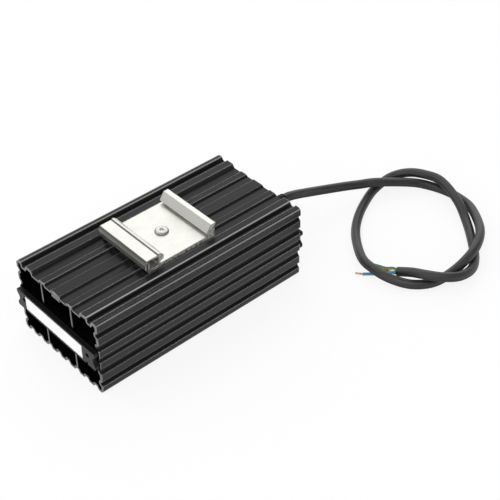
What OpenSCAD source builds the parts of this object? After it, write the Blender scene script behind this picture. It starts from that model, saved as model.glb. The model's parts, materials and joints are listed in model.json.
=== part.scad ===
// Enclosure air heater: a corrugated aluminium housing whose air channels
// lie above and below a flat heating bar, with a sprung rail clip on top
// and a short supply cord that ends in bare cores.
// The origin is the middle of the underside, X runs along the housing
// towards the cord, Z is up, and all sizes are in millimetres.

/* [Housing] */
// Length of the extruded housing
body_l = 140; // [120:1:200]
// Width over the corner ridges
body_w = 70; // [69:0.5:84]
// Height over the corner ridges
body_h = 48; // [47:0.5:60]
// Thickness of the corrugated outer wall
wall = 1.4; // [1:0.1:1.8]
// Thickness of the fins that divide the air channels
fin_t = 1.2; // [0.8:0.1:2]
// Distance of each fin from the middle plane
fin_y = 12.75; // [11:0.25:14]

/* [Corrugation] */
// Width of the ridge along each corner, seen from above
corner_ridge_w = 4; // [3:0.25:4.5]
// Height of the ridge along each corner, seen from the side
corner_ridge_h = 5; // [4:0.25:5.5]
// Radius of the four long corners
corner_r = 2.4; // [0.8:0.1:2.8]
// Radius of every other long edge
edge_r = 0.45; // [0.2:0.05:0.6]
// Width that a slope between a land and a valley takes
slope_w = 1.4; // [1:0.1:1.6]
// Width of the centre land
centre_land_w = 6.8; // [5:0.2:8]
// Width of the inner lands
inner_land_w = 4; // [3:0.2:5]
// Distance of the inner lands from the middle plane
inner_land_y = 12; // [11.5:0.25:13]
// Width of the outer lands
outer_land_w = 4.8; // [4:0.2:5.4]
// Distance of the outer lands' middle from the housing's side
outer_land_inset = 11.1; // [10.8:0.1:12]
// Depth of the centre and inner lands under the outer ones
land_drop = 1.25; // [0.8:0.05:1.6]
// Depth of the valleys between the lands
valley_d = 2.3; // [1.8:0.1:2.6]
// Depth of the notch beside each corner ridge
notch_d = 2.2; // [1.6:0.1:2.5]
// Number of lands on the underside between its middle one and each corner
foot_lands = 3; // [2:1:3]
// Width of the lands on the underside
foot_land_w = 3.8; // [3:0.2:4.6]
// Depth of the valleys between them
foot_d = 2; // [1.5:0.1:2.4]
// Height of the lands on the side walls
side_land_h = 4.7; // [3.5:0.1:5]
// Distance of the side lands from mid height
side_land_z = 12.85; // [12:0.05:13.2]
// Height of the two ridges beside the middle groove
mid_ridge_h = 4; // [3:0.1:4.4]
// Distance of those ridges from mid height
mid_ridge_z = 3.9; // [3.6:0.1:4.4]
// Depth of the notches in the side walls
side_notch_d = 1.5; // [1:0.1:1.8]
// Depth of the groove at mid height
groove_d = 1.2; // [0.6:0.1:1.5]

/* [Heating bar] */
// Thickness of the flat bar above and below its slot
bar_wall = 2.2; // [1.8:0.1:3]
// Room between the insulating sleeve and each side of the slot
slot_side = 0.65; // [0.2:0.05:1]
// Room above and below the insulating sleeve
slot_play = 0.25; // [0.1:0.05:0.5]
// Thickness of the web between slot and pocket
bar_web = 1.8; // [1.2:0.1:2.2]
// Radius of the two screw ports
port_r = 1.45; // [1.2:0.05:1.8]
// Distance of the screw ports from the housing's side
port_inset = 7; // [6.4:0.1:7.2]
// Thickness of the web between pocket and screw port
port_web = 1.35; // [1:0.05:2]
// Height of the screw ports over the bar's middle
port_rise = 1; // [0:0.1:1.5]

/* [Heating element] */
// Distance of the electrodes from the housing's front end
element_front = 12; // [8:0.5:16]
// Distance of the electrodes from the housing's rear end
element_rear = 22; // [20:0.5:26]
// Width of the electrodes and of the tablet frame
element_w = 28; // [26:0.2:28.4]
// Thickness of one electrode
electrode_t = 2.1; // [1.6:0.1:2.2]
// Number of heating tablets
tablets = 5; // [3:1:6]
// Length of one tablet
tablet_l = 15; // [10:0.5:16]
// Width of one tablet
tablet_w = 24; // [18:0.5:25]
// Thickness of one tablet
tablet_t = 2.2; // [2:0.1:2.4]
// Distance of the frame's faces under those of the tablets
frame_under = 0.1; // [0.05:0.05:0.3]
// Play between a tablet and its window in the frame
tablet_gap = 0.2; // [0.1:0.05:0.4]
// Length of the sleeve beyond each end of the electrodes
sleeve_over = 2; // [1:0.25:3]
// Thickness of the insulating sleeve
sleeve_t = 0.3; // [0.1:0.05:0.4]
// Play between the sleeve and what it holds
sleeve_gap = 0.05; // [0.02:0.01:0.1]
// Length of the electrode tabs
tab_l = 6; // [4:0.5:7]
// Width of the electrode tabs
tab_w = 3; // [2:0.2:3.6]
// Thickness of the electrode tabs
tab_t = 1; // [0.6:0.1:1.2]
// Distance of the tabs from the middle plane
tab_y = 5; // [4.5:0.25:6]
// Length of a crimp splice
splice_l = 4; // [3:0.25:4.5]
// Outer radius of a crimp splice
splice_r = 1.5; // [1.3:0.05:1.6]

/* [End caps] */
// Thickness of an end cap
cap_t = 2.2; // [1.6:0.1:3.5]
// Distance of an end cap's long edges from the bar's faces
cap_edge = 0.25; // [0:0.05:0.5]
// Distance that an end cap stays inside the housing's side
cap_inset = 0.6; // [0.3:0.1:1]
// Depth of the waist in each end of a cap
cap_waist = 1.8; // [1:0.1:2.2]
// Radius of an end cap's corners
cap_corner_r = 0.9; // [0.4:0.1:1.2]
// Thickness of the gasket under each cap
gasket_t = 0.5; // [0.3:0.1:1]
// Distance of the gasket's edge inside the cap's
gasket_inset = 0.3; // [0.1:0.1:0.6]
// Depth of the cap's plugs in the side pockets
plug_d = 3; // [2:0.5:5]
// Play round those plugs
plug_gap = 0.2; // [0.1:0.05:0.4]
// Thickness of the sealing pads in the slot
pad_t = 4.8; // [3:0.2:5]
// Width of the pry notch in the cap's lower edge
pry_w = 1.8; // [1:0.1:2.5]
// Height of the pry notch
pry_h = 1.6; // [1:0.1:2.2]
// Length of the bare label field
label_l = 50; // [40:1:52]
// Height of the label field
label_h = 8.8; // [7:0.1:9.4]
// Thickness of the label
label_t = 0.2; // [0.1:0.05:0.3]
// Play round the label in its recess
label_gap = 0.1; // [0.05:0.05:0.2]
// Distance of the label's middle from the middle plane
label_y = 1.6; // [0:0.1:2]

/* [Rail clip] */
// Width of the mounting rail that the clip holds
rail_w = 35; // [34:0.5:36]
// Height left under the lips for the rail's edge
rail_slot = 1.4; // [1.1:0.1:1.8]
// Distance that the latch closes past the rail's edge
preload = 0.4; // [0:0.1:0.8]
// Room between the clip and the outer lands beside it
clip_side = 1.5; // [0.5:0.1:4]
// Thickness of the clip's base plate
plate_t = 2.5; // [2:0.1:3]
// Reach of both lips over the rail's edge
lip_reach = 2.5; // [2:0.1:3]
// Height of the hook lip's blunt edge
lip_edge = 0.7; // [0.4:0.1:1]
// Rise of the hook lip's underside towards that edge
lip_rise = 0.2; // [0:0.05:0.4]
// Radius of the base plate's edges
plate_edge_r = 0.3; // [0.1:0.05:0.3]
// Height of the fixed hook over the base plate
hook_h = 6.5; // [5.5:0.1:8]
// Thickness of the fixed hook at its foot
hook_t = 2.8; // [2:0.1:3.4]
// Width of the fixed hook's top
hook_top_w = 3.3; // [2:0.1:4]
// Distance that the top bead stands out behind the hook
hook_bead = 0.9; // [0.3:0.1:1.4]
// Height of the latch over the base plate
latch_h = 5.9; // [5:0.1:6.5]
// Height of the lobe over the latch's top
lobe_h = 0.5; // [0.2:0.1:0.8]
// Width of the lobe
lobe_w = 1.2; // [0.6:0.1:1.6]
// Width of the crease beside the lobe
crease_w = 0.7; // [0.4:0.1:0.9]
// Depth of that crease
crease_d = 0.35; // [0.1:0.05:0.5]
// Width of the bevel along the latch's outer wall
bevel_w = 1.5; // [1.2:0.1:1.8]
// Fall of the latch's top from its wall to its lip
lip_fall = 1.2; // [0.8:0.1:1.4]
// Rise of the latch lip's underside towards its edge
latch_lip_rise = 0.9; // [0.5:0.1:1.2]
// Radius of the latch's edges
latch_edge_r = 0.35; // [0.1:0.05:0.4]
// Thickness of the latch's walls
latch_t = 1.1; // [0.9:0.05:1.2]
// Thickness of the upturned flange that carries the springs
flange_t = 1.2; // [1:0.1:1.6]
// Room between the flange and the latch's outer wall
flange_gap = 0.8; // [0.5:0.1:1.2]
// Travel of the latch
latch_travel = 3; // [2.5:0.1:3.5]
// Length of the springs at the end of that travel
spring_pressed = 2.8; // [2.6:0.1:4]
// Play between the latch and the base
latch_gap = 0.3; // [0.2:0.05:0.5]
// Radius of the latch's guide pins
pin_r = 0.8; // [0.6:0.05:0.9]
// Play round the guide pins
pin_gap = 0.08; // [0.05:0.01:0.1]
// Distance of the guide pins from the clip's sides
pin_inset = 4.5; // [3:0.5:8]
// Outer radius of the latch springs
spring_r = 1.7; // [1.5:0.05:1.8]
// Thickness of the spring wire
spring_wire = 0.45; // [0.3:0.05:0.5]
// Room at each end of a latch spring
spring_end = 0.1; // [0.05:0.05:0.2]
// Turns of a latch spring
spring_turns = 4; // [3:1:4]

/* [Clip rivet] */
// Radius of the rivet's shaft
rivet_r = 2; // [1.5:0.1:2.4]
// Play round the rivet in its holes
rivet_gap = 0.05; // [0.02:0.01:0.1]
// Radius of the rivet's domed head
rivet_head_r = 3.9; // [3.2:0.1:4.6]
// Height of the rivet's head over the base plate
rivet_head_h = 1.2; // [0.9:0.1:1.4]
// Radius of the dimple in the head and of the bore in the shaft
rivet_bore_r = 1; // [0.6:0.1:1.2]
// Depth of the dimple in the head
rivet_dimple_d = 0.5; // [0.3:0.1:0.7]
// Radius of the rivet's rolled tail
rivet_tail_r = 3; // [2.6:0.1:3.4]
// Thickness of the rivet's rolled tail
rivet_tail_t = 1; // [0.6:0.1:1.4]
// Width of the thick strip under the centre land
strip_w = 7; // [6.4:0.2:9]
// Thickness of that strip
strip_t = 4; // [3:0.2:4.6]

/* [Supply cord] */
// Radius of the cord's jacket
cord_r = 2.8; // [2.6:0.1:2.9]
// Radius of a core with its insulation
core_r = 0.9; // [0.7:0.05:1]
// Radius of a core's bare copper
copper_r = 0.6; // [0.4:0.05:0.65]
// Play round each core
core_gap = 0.1; // [0.05:0.01:0.15]
// Gap between the end faces of jacket, cores and copper
end_gap = 0.2; // [0.1:0.05:0.3]
// Play round the cord in its strain relief
cord_gap = 0.1; // [0.05:0.01:0.15]
// Wall of the strain relief's neck
neck_wall = 1; // [0.8:0.1:1.2]
// Play round the neck in the cap
neck_gap = 0.05; // [0.02:0.01:0.1]
// Length of the strain relief outside the cap
relief_l = 18; // [16:0.5:20]
// Rim of the strain relief round its neck
relief_rim = 1.2; // [0.6:0.1:1.4]
// Thickness of that rim
rim_t = 1.5; // [1:0.1:2]
// Wall of the strain relief at its tip
tip_wall = 0.5; // [0.3:0.1:0.8]

/* [Earth connection] */
// Radius of the earth screw
screw_r = 1.5; // [1.2:0.1:1.6]
// Play of the earth screw in its hole
screw_gap = 0.05; // [0.02:0.01:0.1]
// Radius of the earth screw's head
screw_head_r = 2.6; // [2.2:0.1:2.8]
// Height of the earth screw's head
screw_head_h = 1.6; // [1.2:0.1:2]
// Distance of the earth screw from the housing's rear end
screw_inset = 10; // [9.8:0.1:10.4]
// Room between the ring lug and the slot's side
lug_side = 0.4; // [0.2:0.1:0.8]
// Width of the slot in the earth screw's head
screw_slot = 0.7; // [0.5:0.1:0.9]
// Thickness of the ring lug
lug_t = 0.8; // [0.6:0.1:1]
// Wall of the lug's crimped barrel
lug_wall = 0.5; // [0.3:0.05:0.6]
// Outer radius of the ring lug
lug_r = 2.8; // [2.4:0.1:2.9]

/* [Hidden] */

// overlap of a cutting tool past the face it cuts
cut = 0.5;
mid_z = body_h / 2;
bar_end = body_l / 2;
cap_face = bar_end + gasket_t + cap_t;
cap_w = body_w - 2 * cap_inset;
outer_land_y = body_w / 2 - outer_land_inset;

element_l = body_l - element_front - element_rear;
element_x = (element_front - element_rear) / 2;
sleeve_w = element_w + 2 * (sleeve_gap + sleeve_t);
sleeve_h = tablet_t + 2 * (electrode_t + sleeve_gap + sleeve_t);
sleeve_l = element_l + 2 * sleeve_over;
element_end = element_x + element_l / 2;
tab_z = tablet_t / 2 + tab_t / 2;
splice_x = element_end + tab_l;
frame_t = tablet_t - 2 * frame_under;
tablet_pitch = element_l / tablets;

slot_w = sleeve_w + 2 * slot_side;
slot_h = sleeve_h + 2 * slot_play;
bar_h = slot_h + 2 * bar_wall;
bar_floor = mid_z - slot_h / 2;
cap_h = bar_h - 2 * cap_edge;
port_y = body_w / 2 - port_inset;
pocket_w = port_y - port_r - port_web - slot_w / 2 - bar_web;
pocket_y = slot_w / 2 + bar_web + pocket_w / 2;
plug_w = pocket_w - 2 * plug_gap;
plug_h = slot_h - 2 * plug_gap;

plate_z = body_h - land_drop;
seat_z = plate_z + plate_t;
fixed_seat_x = rail_w / 2;
latch_seat_x = preload - rail_w / 2;
latch_front_x = latch_seat_x - latch_t;
spring_x0 = latch_front_x - latch_travel - spring_pressed;
flange_x = spring_x0 - flange_t;
latch_left_x = flange_x - flange_gap - latch_t;
spring_z = seat_z + (latch_gap + latch_h - latch_t) / 2;
clip_w = 2 * (outer_land_y - outer_land_w / 2 - clip_side);
pin_y = clip_w / 2 - pin_inset;

screw_x = bar_end - screw_inset;
screw_y = slot_w / 2 - lug_r - lug_side;
lug_barrel_r = core_r + lug_wall;
lug_barrel_l = 2.6;
lug_neck_l = 1.2;
lead_z = bar_floor + lug_barrel_r + screw_gap;
lug_y0 = screw_y - lug_r - lug_neck_l - lug_barrel_l;
core_ring = core_r / sin(60) + core_gap;
lead_pitch = core_ring * cos(30);
lead_rise = core_ring * sin(30);
neck_r = cord_r + cord_gap + neck_wall;

// The jacket's route, from inside the housing to its cut end: X is counted
// from the housing's rear end and Z from the surface that it stands on
jacket_route = [
  [-6, 0, mid_z], [0, 0, mid_z], [gasket_t + cap_t + relief_l + 0.3, 0, mid_z],
  [26.5, 0, mid_z - 0.8], [33, 0, 21.2], [41.5, -0.5, 18.5], [64.5, -4, 12.5],
  [76.5, -7.8, 10.4], [87, -13.5, 10], [105.5, -24.3, 6.5], [114, -32, 4.2],
  [119, -42.8, 3.1], [119, -54.5, 3.5], [115, -66, 5], [101.5, -83, 8.6], [89.5, -92, 9.9],
  [77, -96.5, 9.3], [63, -96.5, 5.2], [49.5, -94, 3], [38.5, -87, 3.2], [31.5, -76.5, 5],
  [29.5, -65, 6.2], [32.5, -53, 5.7], [47, -34.5, 3], [61.5, -23, 3], [79, -14.2, 3],
  [90, -11.6, 4.2], [101, -12.9, 7], [109.7, -19.3, 9.3], [115, -29, 10.2],
  [116.5, -40, 10.5], [111.5, -57.5, 8], [103.5, -72, 4.2], [93, -85, 3.5], [83, -95.5, 3],
  [71.5, -102.5, 5.2], [59.5, -103.4, 7.6], [50, -99, 9.7], [44.5, -91.5, 9.8],
  [42.2, -83.3, 7.7], [39.5, -75, 4.5]
];
// The cores' routes beyond the jacket's cut end, and the tips of their copper
live_bends = [[38.9, -71.5, 2.1], [37.6, -67, 1.2], [35.6, -61.5, 1.2]];
live_tip = [34.8, -59.6, 1.2];
neutral_bends = [[36.5, -72, 3.5], [34.2, -68.6, 1.7], [30.5, -64.5, 1.2], [26, -60.5, 1.2]];
neutral_tip = [23.5, -57, 1.2];
earth_bends = [[40.6, -70.5, 3.5], [39.3, -66, 1.5], [37.3, -60.5, 1.2], [33.8, -53.4, 1.2]];
earth_tip = [32.8, -51.6, 1.2];

jacket_in_x = bar_end + jacket_route[0][0];

function unit(v) = v / norm(v);

// Points of a smooth curve through a route, with two steps a span
function between(a, b, c, d, t) =
  0.5 * (2 * b + (c - a) * t + (2 * a - 5 * b + 4 * c - d) * t * t
         + (3 * b - a - 3 * c + d) * t * t * t);
function smooth(route, steps = 2) =
  let (last = len(route) - 1)
  concat(
    [for (i = [0:last - 1], k = [0:steps - 1])
      between(route[max(i - 1, 0)], route[i], route[i + 1], route[min(i + 2, last)], k / steps)],
    [route[last]]);

// Moves every side of a closed clockwise outline inwards by the distance t
function inner_normal(a, b) = let (u = unit(b - a)) [u[1], -u[0]];
function inset(outline, t) =
  let (n = len(outline))
  [for (i = [0:n - 1])
    let (p = inner_normal(outline[(i + n - 1) % n], outline[i]),
         q = inner_normal(outline[i], outline[(i + 1) % n]))
    outline[i] + (p + q) * t / (1 + p * q)];

// Turns a corner b between a and c into an arc, which takes no more than
// the given share of either side
function arc_at(a, b, c, r, steps, share = 0.45) =
  let (u = unit(a - b), v = unit(c - b), half = acos(u * v) / 2,
       t = min(r / tan(half), share * norm(a - b), share * norm(c - b)),
       centre = b + unit(u + v) * t / cos(half),
       s = b + u * t - centre, e = b + v * t - centre, sweep = 180 - 2 * half)
  [for (k = [0:steps])
    centre + (sin(sweep * (1 - k / steps)) * s + sin(sweep * k / steps) * e) / sin(sweep)];
function rounded(outline, r, steps = 2) =
  let (n = len(outline))
  [for (i = [0:n - 1])
    each arc_at(outline[(i + n - 1) % n], outline[i], outline[(i + 1) % n], r, steps)];

// Half of the upper wall's outline, from the centre land to the corner ridge,
// measured from the middle of the section
function upper_lands(w, h) =
  let (inner_a = inner_land_y - inner_land_w / 2, inner_b = inner_land_y + inner_land_w / 2,
       outer_a = outer_land_y - outer_land_w / 2, outer_b = outer_land_y + outer_land_w / 2)
  [
    [centre_land_w / 2, h - land_drop], [centre_land_w / 2 + slope_w, h - valley_d],
    [inner_a - slope_w, h - valley_d], [inner_a, h - land_drop],
    [inner_b, h - land_drop], [inner_b + slope_w, h - valley_d],
    [outer_a - slope_w, h - valley_d], [outer_a, h],
    [outer_b, h], [outer_b + slope_w, h - notch_d],
    [w - corner_ridge_w - slope_w, h - notch_d], [w - corner_ridge_w, h]
  ];
// Half of the lower wall's outline, upside down: even lands from the middle to
// the corner ridge
function lower_lands(w, h) =
  let (pitch = (w - corner_ridge_w / 2) / (foot_lands + 1), half = foot_land_w / 2)
  [
    [half, h], [half + slope_w, h - foot_d],
    for (i = [1:foot_lands])
      each [[i * pitch - half - slope_w, h - foot_d], [i * pitch - half, h],
            [i * pitch + half, h], [i * pitch + half + slope_w, h - foot_d]],
    [w - corner_ridge_w - slope_w, h - foot_d], [w - corner_ridge_w, h]
  ];
// Half of a side wall's outline, from the corner to the groove at mid height
function side_lands(w, h) =
  let (side_a = side_land_z + side_land_h / 2, side_b = side_land_z - side_land_h / 2,
       mid_a = mid_ridge_z + mid_ridge_h / 2, mid_b = mid_ridge_z - mid_ridge_h / 2)
  [
    [w, h],
    [w, h - corner_ridge_h], [w - side_notch_d, h - corner_ridge_h - slope_w],
    [w - side_notch_d, side_a + slope_w], [w, side_a],
    [w, side_b], [w - side_notch_d, side_b - slope_w],
    [w - side_notch_d, mid_a + slope_w], [w, mid_a],
    [w, mid_b], [w - groove_d, mid_b / 2]
  ];
function reversed(list) = [for (i = [len(list) - 1:-1:0]) list[i]];
function mirrored(list, sy, sz) = [for (p = list) [p[0] * sy, p[1] * sz]];
// A closed outline from its upper and lower quarters, both given upright
function full_outline(upper, lower) =
  concat(upper, reversed(mirrored(lower, 1, -1)), mirrored(lower, -1, -1),
         reversed(mirrored(upper, -1, 1)));
function lifted(list, z) = [for (p = list) [p[0], p[1] + z]];

side_part = side_lands(body_w / 2, body_h / 2);
section = lifted(full_outline(concat(upper_lands(body_w / 2, body_h / 2), side_part),
                              concat(lower_lands(body_w / 2, body_h / 2), side_part)), mid_z);
function is_corner(p) = abs(p[0]) > body_w / 2 - 0.01 && abs(p[1] - mid_z) > body_h / 2 - 0.01;
outer_section = [for (i = [0:len(section) - 1])
  let (before = section[(i + len(section) - 1) % len(section)],
       after = section[(i + 1) % len(section)])
  each is_corner(section[i]) ? arc_at(before, section[i], after, corner_r, 6, 0.7)
                             : arc_at(before, section[i], after, edge_r, 2)];
inner_section = rounded(inset(section, wall), edge_r, 1);

// Extrudes an outline of Y and Z along X, centred on x
module along_x(outline, l, x = 0) {
  translate([x, 0, 0]) rotate([90, 0, 90]) linear_extrude(l, center = true) polygon(outline);
}
// Extrudes an outline of X and Z along Y, centred on the middle plane
module along_y(outline, w) {
  rotate([90, 0, 0]) linear_extrude(w, center = true) polygon(outline);
}
// A block given by its middle and its size
module block(at, size) {
  translate(at) cube(size, center = true);
}
module rod_x(x0, x1, r, y = 0, z = 0) {
  translate([x0, y, z]) rotate([0, 90, 0]) cylinder(h = x1 - x0, r = r, $fn = 48);
}
// Sweeps a round section along a list of points
module tube(path, r, sides = 8, ref = [0, 0, 1]) {
  n = len(path);
  points = [for (i = [0:n - 1])
    let (t = unit(path[min(i + 1, n - 1)] - path[max(i - 1, 0)]),
         u = unit(cross(t, ref)), v = cross(u, t))
    for (k = [0:sides - 1])
      path[i] + r * (cos(360 * k / sides) * u + sin(360 * k / sides) * v)];
  skin = [for (i = [0:n - 2], k = [0:sides - 1])
    let (a = i * sides + k, b = i * sides + (k + 1) % sides)
    each [[a, b, b + sides], [a, b + sides, a + sides]]];
  first = [for (k = [sides - 1:-1:0]) k];
  last = [for (k = [0:sides - 1]) (n - 1) * sides + k];
  polyhedron(points = points, faces = concat(skin, [first, last]));
}

module air_channels() {
  l = body_l + 2 * cut;
  difference() {
    along_x(inner_section, l);
    block([0, 0, mid_z], [l + cut, body_w, bar_h]);
    for (side = [-1, 1]) block([0, side * fin_y, mid_z], [l + cut, fin_t, body_h]);
    block([0, 0, plate_z - strip_t / 2], [l + cut, strip_w, strip_t]);
  }
}
module housing() {
  l = body_l + 2 * cut;
  color([0.13, 0.13, 0.13]) difference() {
    along_x(outer_section, body_l);
    air_channels();
    block([0, 0, mid_z], [l, slot_w, slot_h]);
    for (side = [-1, 1]) {
      block([0, side * pocket_y, mid_z], [l, pocket_w, slot_h]);
      rod_x(-l / 2, l / 2, port_r, side * port_y, mid_z + port_rise);
    }
    translate([0, 0, mid_z + bar_h / 2 + cut])
      cylinder(h = body_h, r = rivet_r + rivet_gap, $fn = 48);
    translate([screw_x, screw_y, mid_z - bar_h / 2 - cut])
      cylinder(h = bar_h / 2, r = screw_r + screw_gap, $fn = 48);
  }
}

// Outline of an end cap, less an even margin all round
function cap_outline(margin = 0) =
  let (w = cap_w / 2 - margin, h = cap_h / 2 - margin)
  lifted(rounded([
    [-w, h], [w, h], [w, h * 0.6], [w - cap_waist, h * 0.2],
    [w - cap_waist, -h * 0.2], [w, -h * 0.6], [w, -h],
    [-w, -h], [-w, -h * 0.6], [-w + cap_waist, -h * 0.2],
    [-w + cap_waist, h * 0.2], [-w, h * 0.6]
  ], cap_corner_r), mid_z);
module cap_blank() {
  x = cap_face - cap_t / 2;
  difference() {
    along_x(cap_outline(), cap_t, x);
    for (side = [-1, 1]) {
      rod_x(bar_end, cap_face + cut, port_r, side * port_y, mid_z + port_rise);
      block([x, side * (port_y - pry_w / 2), mid_z - cap_h / 2], [cap_t + 2 * cut, pry_w, 2 * pry_h]);
    }
  }
  for (side = [-1, 1])
    block([bar_end + (gasket_t - plug_d) / 2, side * pocket_y, mid_z],
          [gasket_t + plug_d, plug_w, plug_h]);
}
module end_cap_front() {
  color([0.16, 0.16, 0.16]) difference() {
    mirror([1, 0, 0]) cap_blank();
    block([-cap_face, label_y, mid_z], [2 * label_t, label_l + 2 * label_gap, label_h + 2 * label_gap]);
  }
}
module end_cap_rear() {
  color([0.16, 0.16, 0.16]) difference() {
    cap_blank();
    rod_x(bar_end, cap_face + cut, neck_r + neck_gap, 0, mid_z);
  }
}
module gasket(x) {
  difference() {
    along_x(cap_outline(gasket_inset), gasket_t, x);
    block([x, 0, mid_z], [2 * gasket_t, slot_w, slot_h]);
    for (side = [-1, 1]) {
      block([x, side * pocket_y, mid_z], [2 * gasket_t, pocket_w, slot_h]);
      rod_x(x - gasket_t, x + gasket_t, port_r, side * port_y, mid_z + port_rise);
    }
  }
}
module gasket_front() {
  color([0.3, 0.3, 0.3]) gasket(-bar_end - gasket_t / 2);
}
module gasket_rear() {
  color([0.3, 0.3, 0.3]) gasket(bar_end + gasket_t / 2);
}
module seal_pad_front() {
  color([0.75, 0.3, 0.2])
    block([-bar_end + pad_t / 2, 0, mid_z], [pad_t, slot_w - 2 * plug_gap, plug_h]);
}
module seal_pad_rear() {
  x = bar_end - pad_t / 2;
  color([0.75, 0.3, 0.2]) difference() {
    block([x, 0, mid_z], [pad_t, slot_w - 2 * plug_gap, plug_h]);
    rod_x(x - pad_t, x + pad_t, cord_r + cord_gap, 0, mid_z);
  }
}
module label() {
  color("white") block([-cap_face + label_t / 2, label_y, mid_z], [label_t, label_l, label_h]);
}

module heating_tablets() {
  color([0.35, 0.33, 0.3])
    for (i = [0:tablets - 1])
      block([element_x + (i - (tablets - 1) / 2) * tablet_pitch, 0, mid_z],
            [tablet_l, tablet_w, tablet_t]);
}
module tablet_frame() {
  color([0.9, 0.88, 0.8]) difference() {
    block([element_x, 0, mid_z], [element_l, element_w, frame_t]);
    for (i = [0:tablets - 1])
      block([element_x + (i - (tablets - 1) / 2) * tablet_pitch, 0, mid_z],
            [tablet_l + 2 * tablet_gap, tablet_w + 2 * tablet_gap, tablet_t]);
  }
}
// An electrode with its tab, above the tablets for side 1 and below for side -1
module electrode(side) {
  color([0.8, 0.8, 0.82]) {
    block([element_x, 0, mid_z + side * (tablet_t + electrode_t) / 2],
          [element_l, element_w, electrode_t]);
    block([element_end + tab_l / 2, side * tab_y, mid_z + side * tab_z], [tab_l, tab_w, tab_t]);
  }
}
module electrode_upper() {
  electrode(1);
}
module electrode_lower() {
  electrode(-1);
}
module insulating_sleeve() {
  color([0.8, 0.5, 0.1]) difference() {
    block([element_x, 0, mid_z], [sleeve_l, sleeve_w, sleeve_h]);
    block([element_x, 0, mid_z],
          [sleeve_l + 2 * cut, sleeve_w - 2 * sleeve_t, sleeve_h - 2 * sleeve_t]);
  }
}
module crimp_splices() {
  color([0.75, 0.75, 0.78])
    for (side = [-1, 1]) difference() {
      rod_x(splice_x, splice_x + splice_l, splice_r, side * tab_y, mid_z + side * tab_z);
      rod_x(splice_x - cut, splice_x + splice_l + cut, core_r + core_gap,
            side * tab_y, mid_z + side * tab_z);
    }
}
// A lead from the jacket's inner end to the splice on a tab
module tab_lead(side, y0, z0) {
  z1 = mid_z + side * tab_z;
  x1 = splice_x + splice_l;
  y1 = side * tab_y;
  bend = smooth([
    [jacket_in_x - core_r, y0, z0],
    [(jacket_in_x + x1) / 2, (y0 + y1) / 2, (z0 + z1) / 2],
    [x1 + core_r, y1, z1]
  ]);
  tube(concat([[jacket_in_x - end_gap, y0, z0]], bend, [[splice_x + end_gap, y1, z1]]), core_r);
}
module lead_live() {
  color([0.45, 0.25, 0.12]) tab_lead(1, lead_pitch, mid_z + lead_rise);
}
module lead_neutral() {
  color([0.15, 0.4, 0.7]) tab_lead(-1, -lead_pitch, mid_z + lead_rise);
}
module lead_earth() {
  z0 = mid_z - core_ring;
  bend = smooth([
    [jacket_in_x - core_r, 0, z0],
    [screw_x + 1.4, 0.9, (z0 + lead_z) / 2],
    [screw_x, lug_y0 - core_r, lead_z]
  ]);
  lug_end = [screw_x, lug_y0 + lug_barrel_l - end_gap, lead_z];
  color([0.4, 0.6, 0.2]) tube(concat([[jacket_in_x - end_gap, 0, z0]], bend, [lug_end]), core_r);
}
module earth_lug() {
  color([0.85, 0.8, 0.6]) {
    difference() {
      union() {
        translate([screw_x, screw_y, bar_floor]) cylinder(h = lug_t, r = lug_r, $fn = 48);
        block([screw_x, screw_y - lug_r, bar_floor + lug_t / 2],
              [2 * lug_barrel_r, 2 * lug_neck_l, lug_t]);
      }
      translate([screw_x, screw_y, bar_floor - cut])
        cylinder(h = lug_t + 2 * cut, r = screw_r + screw_gap, $fn = 48);
    }
    translate([screw_x, lug_y0, lead_z]) rotate([-90, 0, 0]) difference() {
      cylinder(h = lug_barrel_l, r = lug_barrel_r, $fn = 48);
      translate([0, 0, -cut])
        cylinder(h = lug_barrel_l + 2 * cut, r = core_r + core_gap, $fn = 48);
    }
  }
}
module earth_screw() {
  low = mid_z - bar_h / 2;
  color([0.8, 0.8, 0.8]) translate([screw_x, screw_y, 0]) {
    translate([0, 0, low]) cylinder(h = bar_floor + lug_t - low, r = screw_r, $fn = 48);
    difference() {
      translate([0, 0, bar_floor + lug_t]) cylinder(h = screw_head_h, r = screw_head_r, $fn = 48);
      translate([0, 0, bar_floor + lug_t + screw_head_h])
        cube([2 * screw_head_r + cut, screw_slot, screw_head_h], center = true);
    }
  }
}

// Base plate with the fixed hook on its right and the spring flange on its left
module clip_base() {
  right = fixed_seat_x + hook_t;
  lip_x = fixed_seat_x - lip_reach;
  outline = [
    [flange_x, plate_z], [right, plate_z], [right, seat_z + hook_h - 2 * hook_bead],
    [right + hook_bead, seat_z + hook_h - hook_bead], [right + hook_bead, seat_z + hook_h],
    [right + hook_bead - hook_top_w, seat_z + hook_h], [lip_x, seat_z + rail_slot + lip_rise + lip_edge],
    [lip_x, seat_z + rail_slot + lip_rise], [fixed_seat_x, seat_z + rail_slot],
    [fixed_seat_x, seat_z], [spring_x0, seat_z],
    [spring_x0, seat_z + latch_h - latch_t - latch_gap],
    [flange_x, seat_z + latch_h - latch_t - latch_gap]
  ];
  color([0.85, 0.85, 0.84]) difference() {
    along_y(rounded(reversed(outline), plate_edge_r), clip_w);
    translate([0, 0, plate_z - cut]) cylinder(h = 2 * plate_t, r = rivet_r + rivet_gap, $fn = 48);
    for (side = [-1, 1])
      rod_x(flange_x - cut, spring_x0 + cut, pin_r + pin_gap, side * pin_y, spring_z);
  }
}
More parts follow.
